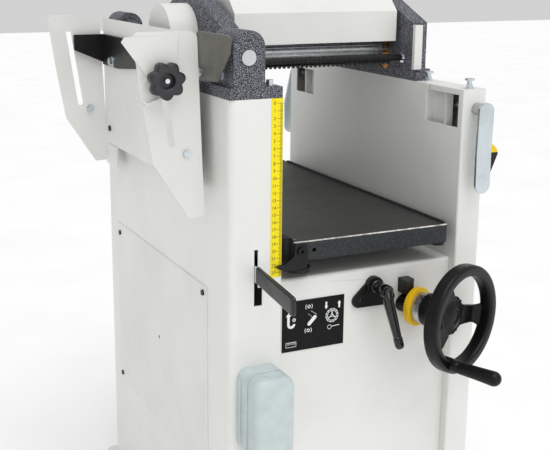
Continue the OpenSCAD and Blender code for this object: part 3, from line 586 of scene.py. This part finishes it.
# ---------- lift handwheel ----------
WHEEL = stand(pivot("handwheel_turn"), -axis("handwheel_turn"))
WHEEL_RADIUS = 78
RIM_WIDTH = 15.7
RIM_LOW, RIM_HIGH = 88, 109
HUB_LOW, HUB_SHOULDER, HUB_TOP = 41.5, 76, 89.6
HUB_RADIUS, NOSE_RADIUS = 24, 20
ARM_LOW, ARM_HIGH = 76, 85
ARM_LOW_RISE, ARM_HIGH_RISE = 12.6, 8.5
ARM_START, ARM_END, ARM_STEP = 9, 67, 2
ARM_HALF, ARM_TAPER = 16.6, 0.075
# Radius at which each flare starts, and how far it takes to add the full flare to the half width.
HUB_FLARE_FROM, HUB_FLARE_OVER = 31, 12
RIM_FLARE_FROM, RIM_FLARE_OVER = 53, 9
FLARE = 4
# Radius at which each face of the arm starts its step forward, and the length of the step.
LOW_STEP_FROM, LOW_STEP_OVER = 52, 14
HIGH_STEP_FROM, HIGH_STEP_OVER = 50, 13
ARM_TURN = -10
ARM_ANGLES = (0, 120, 240)
FILLET_REACH = 27
CRANK_TURN, CRANK_RADIUS = -120, 66


def ease(value):
    """A smooth step from 0 to 1."""
    value = min(1.0, max(0.0, value))
    return value * value * (3 - 2 * value)


def wheel_arm():
    """A flat arm that flares into the hub, then steps forward and flares into the rim."""
    rings = []
    for r in range(ARM_START, ARM_END + 1, ARM_STEP):
        to_hub = max(0.0, (HUB_FLARE_FROM - r) / HUB_FLARE_OVER)
        to_rim = max(0.0, (r - RIM_FLARE_FROM) / RIM_FLARE_OVER)
        half = ARM_HALF - ARM_TAPER * r + to_hub ** 2 * FLARE + to_rim ** 2 * FLARE
        if r < FILLET_REACH:
            half = min(half, math.sqrt(FILLET_REACH ** 2 - r ** 2) + 2)
        low = ARM_LOW + ARM_LOW_RISE * ease((r - LOW_STEP_FROM) / LOW_STEP_OVER)
        high = ARM_HIGH + ARM_HIGH_RISE * ease((r - HIGH_STEP_FROM) / HIGH_STEP_OVER)
        section = rounded_rect(2 * half, high - low, 2.2, 4)
        rings.append([(r, x, (low + high) / 2 + z) for x, z in section])
    return skin(rings)


def handwheel():
    """A wheel with three arms, its hub and the boss of the crank; a cap closes the bore."""
    mid_r = WHEEL_RADIUS - RIM_WIDTH / 2
    section = rounded_rect(RIM_WIDTH, RIM_HIGH - RIM_LOW, 4.6)
    rim = turned([(mid_r + x, (RIM_LOW + RIM_HIGH) / 2 + y) for x, y in section], 120, wrap=True)
    arms = [(wheel_arm(), turned_about("Z", a + ARM_TURN)) for a in ARM_ANGLES]
    hub = turned([(0, HUB_LOW), (HUB_RADIUS - 1.5, HUB_LOW), (HUB_RADIUS, HUB_LOW + 1.5),
                  (HUB_RADIUS, HUB_SHOULDER - 1), (HUB_RADIUS - 1, ARM_HIGH - 0.4),
                  (NOSE_RADIUS, ARM_HIGH + 0.8), (NOSE_RADIUS - 5, HUB_TOP - 1.6),
                  (NOSE_RADIUS - 8, HUB_TOP - 0.3), (9.8, HUB_TOP), (9, HUB_TOP - 0.8),
                  (9, HUB_TOP - 4), (0, HUB_TOP - 4)], 72)
    boss = turned([(0, RIM_LOW + 0.5), (8.6, RIM_LOW + 0.5), (9.9, RIM_LOW + 1.8), (9.9, RIM_HIGH - 1.7),
                   (9.4, RIM_HIGH - 0.5), (0, RIM_HIGH - 0.5)], 48)
    boss_place = turned_about("Z", CRANK_TURN) @ Matrix.Translation((CRANK_RADIUS, 0, 0))
    make("handwheel_casting", join(rim, *arms, hub, (boss, boss_place)), FINISH["black_plastic"],
         "handwheel", WHEEL, corner=40, stands_for=("handwheel",))
    cap = turned([(8.2, HUB_TOP - 3), (8.8, HUB_TOP - 3), (8.8, HUB_TOP - 1.2), (8, HUB_TOP - 0.7),
                  (0, HUB_TOP - 0.5), (0, HUB_TOP - 1.3), (8.2, HUB_TOP - 1.4)], 48, wrap=True)
    make("handwheel_cap", cap, FINISH["black_plastic"], "handwheel", WHEEL)


GRIP_START = 109.2
DOME_RADIUS, DOME_START = 10.4, 66.4


def crank_handle():
    """A turned grip that swells towards a domed end."""
    place = stand(pivot("crank_spin"), axis("crank_spin"))
    start = (pivot("crank_spin") - pivot("handwheel_turn")).dot(-axis("handwheel_turn"))
    shift = GRIP_START - start
    dome = [(DOME_RADIUS * math.cos(math.radians(a)), DOME_START + DOME_RADIUS * math.sin(math.radians(a)))
            for a in range(0, 90, 9)]
    profile = [(0, 0), (7.6, 0), (8.5, 0.9), (8.5, 11), (7.9, 11.8), (7.6, 12.6), (8.0, 13.3), (8.8, 14.2),
               (9.0, 24), (9.3, 40), (9.9, 56), (DOME_RADIUS, 64)] + dome + [(0, DOME_START + DOME_RADIUS)]
    bm = turned([(r, z + shift) for r, z in profile], 56)
    make("crank_grip", bm, FINISH["black_plastic"], "crank", place, corner=40,
         stands_for=("crank_handle",))


DIAL_RADIUS, DIAL_HIGH = 28.3, 28
DIAL_MARKS_FROM = 20
DIAL_DIVISIONS, DIAL_NUMBERS = 40, 4


def dial_marks():
    """Divisions round the dial, with a number at every tenth."""
    parts = []
    for i in range(DIAL_DIVISIONS):
        length = 5.2 if i % 10 == 0 else (4.2 if i % 5 == 0 else 2.8)
        mark = block((DIAL_RADIUS - 0.3, -0.22, DIAL_MARKS_FROM),
                     (DIAL_RADIUS + 0.05, 0.22, DIAL_MARKS_FROM + length))
        parts.append((mark, turned_about("Z", 360 / DIAL_DIVISIONS * i)))
    upright = turned_about("Y", 90) @ turned_about("Z", 90)
    for i in range(DIAL_NUMBERS):
        number = numerals(str(i), 2.6, 0.3)
        place = (turned_about("Z", 360 / DIAL_NUMBERS * i + 5)
                 @ Matrix.Translation((DIAL_RADIUS - 0.1, 0, DIAL_HIGH - 2.2)) @ upright)
        parts.append((number, place))
    make("dial_marks", join(*parts), INK, "handwheel", WHEEL)


# ---------- table clamp ----------
LOCK = stand(pivot("lock_lever_turn"), (0, -1, 0))
LOCK_TIP = Vector((26, -311, 386))
HUB_STANDOFF = 36
ARM_FLATS = 0.07


def lock_lever():
    """A clamp lever: a barrel on a stud, and a round arm with four shallow flats and a collar."""
    hub = pivot("lock_lever_turn") + Vector((0, -HUB_STANDOFF, 0))
    reach = (LOCK_TIP - hub).length
    barrel = turned([(0, 13.6), (7, 13.6), (8, 14.6), (8, 28), (9.4, 30.5), (9.7, 33), (9.7, 40.6),
                     (8.2, 42.8), (5.6, 43), (5.6, 40.2), (0, 40.2)], 48)
    arm_profile = [(0, -6), (5, -5.4), (7.6, -2), (8.5, 3), (8.3, 14), (7.6, reach * 0.4),
                   (6.9, reach * 0.62), (6.3, reach - 19), (6.2, reach - 17.4), (6.9, reach - 16.6),
                   (7.0, reach - 5.5), (6.2, reach - 2.2), (4.2, reach - 0.3), (0, reach + 0.2)]
    arm = turned(arm_profile, 40)
    for v in arm.verts:
        angle = math.atan2(v.co.y, v.co.x)
        flatten = 1 - ARM_FLATS * (1 - math.cos(4 * angle)) / 2
        v.co.x *= flatten
        v.co.y *= flatten
    arm.transform(stand(hub, LOCK_TIP - hub))
    barrel.transform(LOCK)
    make("clamp_lever", join(barrel, arm), FINISH["black_gloss"], "lock_lever",
         corner=40, stands_for=("lock_lever",))
    stud = turned([(0, -17.2), (5, -17.2), (5, 9.4), (8.4, 9.4), (9, 10), (9, 12.9), (8.4, 13.5),
                   (0, 13.5)], 40)
    make("clamp_stud", stud, DARK_STEEL, "lock_lever", LOCK)
    head = turned([(0, 39), (5.4, 39), (5.4, 41.8), (4.8, 42.6), (2.4, 42.6), (2.4, 40.6), (0, 40.6)], 36)
    make("clamp_screw", head, DARK_STEEL, "lock_lever", LOCK)


# ---------- bracket knob ----------
KNOB_STEPS, KNOB_LOBES, KNOB_TURN = 196, 7, math.radians(11)
KNOB_VALLEY, KNOB_LOBE = 19.8, 5.0


def lobed_ring(z, inset, wave=1.0):
    """A ring round the knob's lobes, drawn in by inset; wave flattens the lobes below 1."""
    points = []
    for i in range(KNOB_STEPS):
        a = 2 * math.pi * i / KNOB_STEPS
        crest = 0.5 + 0.5 * math.cos(KNOB_LOBES * (a - KNOB_TURN))
        r = KNOB_VALLEY + KNOB_LOBE * wave * crest ** 0.6 - inset
        points.append((r * math.cos(a), r * math.sin(a), z))
    return points


def star_knob():
    """A lobed plastic knob with a round recess in its face, on a plated stud."""
    front = -box_mm("star_knob")[0].y
    middle = pivot("star_knob_turn")
    place = stand((middle.x, 0, middle.z), (0, -1, 0))
    neck = [(11.2, -22), (12, -21.2), (12, -16.2)]
    lobes = [(-15.6, 3), (-14.8, 1.0), (-13.6, 0.2), (-12, 0), (-3.6, 0), (-2.2, 0.35), (-1.1, 1.2),
             (-0.4, 2.6), (-0.1, 4.2, 0.9)]
    recess = [(13.4, 0), (11.2, 0), (10.2, -0.6), (9.6, -1.6), (8.8, -8), (0, -8)]
    rings = [circle(r, front + z, KNOB_STEPS) for r, z in neck]
    rings += [lobed_ring(front + lobe[0], *lobe[1:]) for lobe in lobes]
    rings += [circle(r, front + z, KNOB_STEPS) for r, z in recess]
    make("knob_body", skin(rings), KNOB_BLACK, "star_knob", place, corner=45,
         stands_for=("star_knob",))
    back = -box_mm("star_knob")[1].y
    stud = turned([(0, back), (3.2, back), (3.7, back + 0.6), (3.7, front - 3.6), (3.1, front - 2.9),
                   (0, front - 2.9)], 32)
    make("knob_stud", stud, CHROME, "star_knob", place)


# ---------- height scale ----------
SCALE_LENGTH = 235
SCALE_MARGIN = 6.5
SCALE_NUMBER_SIZE = 6.4


def scale_marks():
    """Millimetre marks, longer at every fifth and tenth, and a number at every centimetre."""
    low, high = box_mm("height_scale")
    zero = high.z - SCALE_MARGIN
    face = low.y
    right = high.x - 0.4
    parts = []
    for mm in range(SCALE_LENGTH + 1):
        length = 8.0 if mm % 10 == 0 else (4.8 if mm % 5 == 0 else 3.6)
        half = 0.26 if mm % 10 == 0 else 0.17
        z = zero - mm
        if z > low.z + 0.5:
            parts.append(block((right - length, face - 0.04, z - half), (right, face + 0.2, z + half)))
    for cm in range(SCALE_LENGTH // 10 + 1):
        number = numerals(str(cm), SCALE_NUMBER_SIZE, 0.3)
        place = Matrix.Translation((low.x + 4.6, face + 0.08, zero - 10 * cm)) @ FACING_FRONT
        parts.append((number, place))
    make("scale_marks", join(*parts), INK, "frame")


# ---------- front label ----------
# Figures are drawn in millimetres from the label's lower left corner.
DASH_WIDTH, INK_THICKNESS = 0.5, 0.16


def arrow(cx, tail, tip, width, head):
    """A straight arrow along y from tail to tip."""
    neck = tip - head if tip > tail else tip + head
    return [(cx - width / 4, tail), (cx + width / 4, tail), (cx + width / 4, neck), (cx + width / 2, neck),
            (cx, tip), (cx - width / 2, neck), (cx - width / 4, neck)]


def hook_arrow():
    """An arrow that turns up out of a hook."""
    outer = arc(14.2, 40.6, 6.3, 360, 180, 16)
    inner = arc(14.2, 40.6, 2.5, 180, 360, 16)
    return (outer + [(7.9, 52.4), (5.6, 52.4), (9.8, 57.6), (14, 52.4), (11.7, 52.4)] + inner)


def bracketed_circle(cx, cy, size):
    """A ring between two arcs."""
    circle_part = shifted(ring_2d(size, size * 0.55), cx, cy)
    left = shifted(ring_2d(size * 2.25, size * 1.9, 140, 220, 8), cx, cy)
    right = shifted(ring_2d(size * 2.25, size * 1.9, -40, 40, 8), cx, cy)
    return [circle_part, left, right]


def slanted_bar(a, b, width):
    """A bar with round ends from a to b."""
    a, b = Vector(a), Vector(b)
    lean = math.degrees(math.atan2(b.y - a.y, b.x - a.x))
    return (arc(a.x, a.y, width / 2, lean + 90, lean + 270, 8)
            + arc(b.x, b.y, width / 2, lean - 90, lean + 90, 8))


def dashes(start, dash, step, count):
    """A row of short dashes; each starts one step from the last."""
    starts = [Vector(start) + i * Vector(step) for i in range(count)]
    return [slanted_bar(p, p + Vector(dash), DASH_WIDTH) for p in starts]


def lever_picture():
    """A hooked arrow, and a lever between two bracketed rings with two rows of dashes beside it."""
    figures = [hook_arrow(), shifted(ring_2d(2.6, 1.3), 18.6, 46.6)]
    figures += bracketed_circle(41.2, 28, 2.5) + bracketed_circle(42, 63.2, 2.5)
    figures += [slanted_bar((42.6, 37.4), (51.6, 46.6), 5.4)]
    figures += dashes((54.2, 50.4), (-1.2, 0.8), (-1.9, 1.25), 5)
    figures += dashes((47.6, 47.0), (-1.0, 0.8), (-1.9, 1.6), 4)
    return figures


def wheel_picture(cx, cy):
    """A handwheel seen from the front, with a broken ring round it and arrows beside it."""
    middle = Vector((cx, cy))
    figures = [shifted(ring_2d(10.3, 8.9, a, a + 24, 5), cx, cy) for a in range(0, 360, 30)]
    figures += [shifted(ring_2d(7.9, 7.0), cx, cy), shifted(ring_2d(2.4, 1.1), cx, cy)]
    for a in (90, 210, 330):
        way = Vector((math.cos(math.radians(a)), math.sin(math.radians(a))))
        figures.append(slanted_bar(middle + 2 * way, middle + 7.2 * way, 1.6))
    figures += [arrow(cx - 9.6, cy + 21.4, cy + 10.4, 5.6, 4.6)]
    figures += [arrow(cx + 11.4, cy + 10.2, cy + 21.2, 5.6, 4.6)]
    return figures


def clamp_picture():
    """A small ring with a short lever beside it."""
    return [shifted(ring_2d(3.4, 2.7), 75.4, 28), slanted_bar((79, 28.6), (91, 29.4), 1.0)]


def ruler_picture(x0, y0, x1, y1):
    """A box drawn with thin lines, with a row of upright marks in it."""
    line = 0.6
    figures = [rectangle(x0, y0, x1, y0 + line), rectangle(x0, y1 - line, x1, y1)]
    figures.append(rectangle(x0, y0 + line, x0 + line, y1 - line))
    figures.append(rectangle(x1 - line, y0 + line, x1, y1 - line))
    figures += [rectangle(x0 + 2 + 2 * i, y0 + 3.6, x0 + 2.5 + 2 * i, y1 - line) for i in range(7)]
    return figures


def label_marks():
    """Plain pictograms: feed lever, its two positions, lifting wheel and clamp."""
    low = box_mm("control_label")[0]
    figures = lever_picture() + wheel_picture(79.2, 45) + clamp_picture()
    figures += ruler_picture(6, 6.4, 22.4, 14)
    place = Matrix.Translation((low.x, low.y + 0.1, low.z)) @ FACING_FRONT
    parts = [(prism(figure, 0, INK_THICKNESS), place) for figure in figures]
    make("label_marks", join(*parts), WHITE_INK, "frame")


# ---------- terminal box ----------
LID_CORNER, LID_GAP = 17, 0.6
KNOCK_OUT, KNOCK_OUT_STEPS = (13, 8.4), 48


def terminal_lid():
    """Moulded lid with a groove behind its lip, rounded shoulders and a ribbed left side."""
    low, high = box_mm("terminal_lid")
    cx = (low.x + high.x) / 2
    width, depth = high.x - low.x, high.y - low.y
    height = high.z - low.z - LID_GAP
    middle = (low.z + high.z - LID_GAP) / 2
    # How far along the depth each ring is, and how far it is drawn in from the outside.
    stations = [(0.0, 0.0), (0.1, 0.0), (0.12, 0.3), (0.13, 1.8), (0.19, 1.8), (0.2, 0.4), (0.22, 0.0),
                (0.7, 0.3), (0.8, 0.9), (0.87, 1.9), (0.93, 3.6), (0.975, 6.2), (1.0, 9.4)]
    rings = []
    for along, inset in stations:
        y = high.y - depth * along
        outline = rounded_rect(width - 2 * inset, height - 2 * inset, LID_CORNER - inset, 10)
        rings.append([(cx + x, y, middle + z) for x, z in outline])
    lid = skin(rings)
    ribs = [block((low.x + 0.2, high.y - depth * (0.3 + 0.2 * i), low.z + 14),
                  (low.x + 4.4, high.y - depth * (0.24 + 0.2 * i), high.z - 16)) for i in range(3)]
    angles = [2 * math.pi * i / KNOCK_OUT_STEPS for i in range(KNOCK_OUT_STEPS)]
    oval = [(KNOCK_OUT[0] * math.cos(a), KNOCK_OUT[1] * math.sin(a)) for a in angles]
    knock_out = prism(shifted(oval, cx + 2, high.y - depth * 0.5), high.z - 2, high.z - 0.05)
    make("terminal_cover", join(lid, *ribs, knock_out), FINISH["plastic_grey"], "frame",
         corner=40, stands_for=("terminal_lid",))


# ---------- feed lever ----------
BAR_LENGTH, BAR_HEIGHT, BAR_CORNER, BAR_HALF = 163, 23.6, 5, 2.4
BAR_MIDDLE = -197.5
GRIP_TURN, GRIP_ROOT = 4.7, 276
GRIP_BACK, GRIP_FRONT = -274.9, -369.9
GRIP_RINGS = 41
GRIP_NOSE, GRIP_NECK = 6, 1.6
# Puts an outline's x along the frame's Y, its y along Z and its depth along X.
LENGTHWISE = Matrix(((0, 0, 1, 0), (1, 0, 0, 0), (0, 1, 0, 0), (0, 0, 0, 1)))


def feed_lever():
    """A steel bar with a flat, rounded plastic grip that widens towards its end."""
    middle = pivot("feed_lever_swing")
    bar = shifted(rounded_rect(BAR_LENGTH, BAR_HEIGHT, BAR_CORNER), BAR_MIDDLE, middle.z)
    bar_place = Matrix.Translation((middle.x, 0, 0)) @ LENGTHWISE
    make("feed_lever_bar", prism(bar, -BAR_HALF, BAR_HALF), CHROME, "feed_lever", bar_place,
         edge=0.5)
    rings = []
    for i in range(GRIP_RINGS):
        t = i / (GRIP_RINGS - 1)
        along = (1 - math.cos(math.pi * t)) / 2
        y = GRIP_BACK + (GRIP_FRONT - GRIP_BACK) * along
        low, high = -12.2 - 18.2 * along, 11.8 - 16.6 * along
        to_end = max(0.0, (GRIP_FRONT + GRIP_NOSE - y) / GRIP_NOSE)
        to_root = max(0.0, (y - GRIP_BACK + GRIP_NECK) / GRIP_NECK)
        full = math.sqrt(max(0.0, 1 - to_end ** 2.2))
        half_z = (high - low) / 2 - 4.5 * (1 - full) - 1.0 * to_root
        half_x = 3.6 * (0.3 + 0.7 * full) - 0.8 * to_root
        section = rounded_rect(2 * half_x, 2 * half_z, half_x * 0.9, 5)
        rings.append([(x, y, (low + high) / 2 + z) for x, z in section])
    root = Vector((middle.x, -GRIP_ROOT, middle.z))
    place = (Matrix.Translation(root) @ turned_about("Z", GRIP_TURN)
             @ Matrix.Translation((0, GRIP_ROOT, 0)))
    make("feed_lever_grip", skin(rings), FINISH["black_gloss"], "feed_lever", place,
         stands_for=("feed_lever",))


# ---------- stage, light and camera ----------
CAMERA_AT = Vector((-0.7316, -1.4407, 0.9181))
CAMERA_YAW, CAMERA_PITCH, CAMERA_ROLL = 24.82, 13.68, -0.25
CAMERA_LENS = 66.09
CAMERA_SHIFT = (0.0447, -0.0316)
CAMERA_SENSOR = 36
WORLD_LIGHT, CEILING_LIGHT, KEY_LIGHT, SIDE_LIGHT = 0.64, 1.35, 8, 2
CEILING_TILT, CEILING_SPREAD = 24, 50
KEY_AT, KEY_SIZE = (0.5, -3.3, 1.25), 1.3
SIDE_AT, SIDE_SIZE = (-2.6, -2.4, 2.2), 1.2
FLOOR_HALF = 12


def backdrop_material(name, colour):
    f = Finish(name, specular=0.1)
    f.set("Base Color", f.ramp(f.noise(3, 2), (0.3, tone(colour)), (0.7, (0.98, 0.98, 0.98, 1))))
    f.set("Roughness", f.span(f.noise(40, 2), 0.8, 0.9))
    return f.material


def stage():
    bm = bmesh.new()
    bmesh.ops.create_grid(bm, x_segments=1, y_segments=1, size=FLOOR_HALF)
    mesh = bpy.data.meshes.new("floor")
    bm.to_mesh(mesh)
    bm.free()
    floor = bpy.data.objects.new("floor", mesh)
    floor.location.z = CAD_BOX[0].z
    bpy.context.scene.collection.objects.link(floor)
    mesh.materials.append(backdrop_material("pale_floor", "f8f8f8"))


def area_light(name, position, target, size, power):
    data = bpy.data.lights.new(name, "AREA")
    data.shape = "DISK"
    data.size = size
    data.energy = power
    lamp = bpy.data.objects.new(name, data)
    lamp.location = position
    lamp.rotation_mode = "QUATERNION"
    lamp.rotation_quaternion = (Vector(position) - Vector(target)).to_track_quat("Z", "Y")
    bpy.context.scene.collection.objects.link(lamp)


def lighting():
    world = bpy.data.worlds.new("studio")
    bpy.context.scene.world = world
    world.use_nodes = True
    world.node_tree.nodes["Background"].inputs["Color"].default_value = (1, 1, 1, 1)
    world.node_tree.nodes["Background"].inputs["Strength"].default_value = WORLD_LIGHT
    data = bpy.data.lights.new("ceiling", "SUN")
    data.energy = CEILING_LIGHT
    data.angle = math.radians(CEILING_SPREAD)
    ceiling = bpy.data.objects.new("ceiling", data)
    ceiling.rotation_euler = (math.radians(CEILING_TILT), 0, 0)
    bpy.context.scene.collection.objects.link(ceiling)
    middle = (CAD_BOX[0] + CAD_BOX[1]) / 2
    area_light("key", KEY_AT, middle, KEY_SIZE, KEY_LIGHT)
    area_light("side", SIDE_AT, middle, SIDE_SIZE, SIDE_LIGHT)
    bpy.context.scene.view_settings.view_transform = "Standard"


def camera():
    yaw, pitch, roll = (math.radians(a) for a in (CAMERA_YAW, CAMERA_PITCH, CAMERA_ROLL))
    forward = Vector((math.sin(yaw) * math.cos(pitch), math.cos(yaw) * math.cos(pitch), -math.sin(pitch)))
    level = Vector((math.cos(yaw), -math.sin(yaw), 0))
    down = forward.cross(level)
    right = level * math.cos(roll) + down * math.sin(roll)
    up = level * math.sin(roll) - down * math.cos(roll)
    data = bpy.data.cameras.new("camera")
    data.sensor_width = CAMERA_SENSOR
    data.lens = CAMERA_LENS
    data.shift_x, data.shift_y = CAMERA_SHIFT
    data.clip_start, data.clip_end = 0.05, 60
    obj = bpy.data.objects.new("camera", data)
    turn = Matrix((right, up, -forward)).transposed().to_4x4()
    obj.matrix_world = Matrix.Translation(CAMERA_AT) @ turn
    bpy.context.scene.collection.objects.link(obj)
    bpy.context.scene.camera = obj


dress_nodes()
handwheel()
crank_handle()
dial_marks()
lock_lever()
star_knob()
scale_marks()
label_marks()
terminal_lid()
feed_lever()
stage()
lighting()
camera()
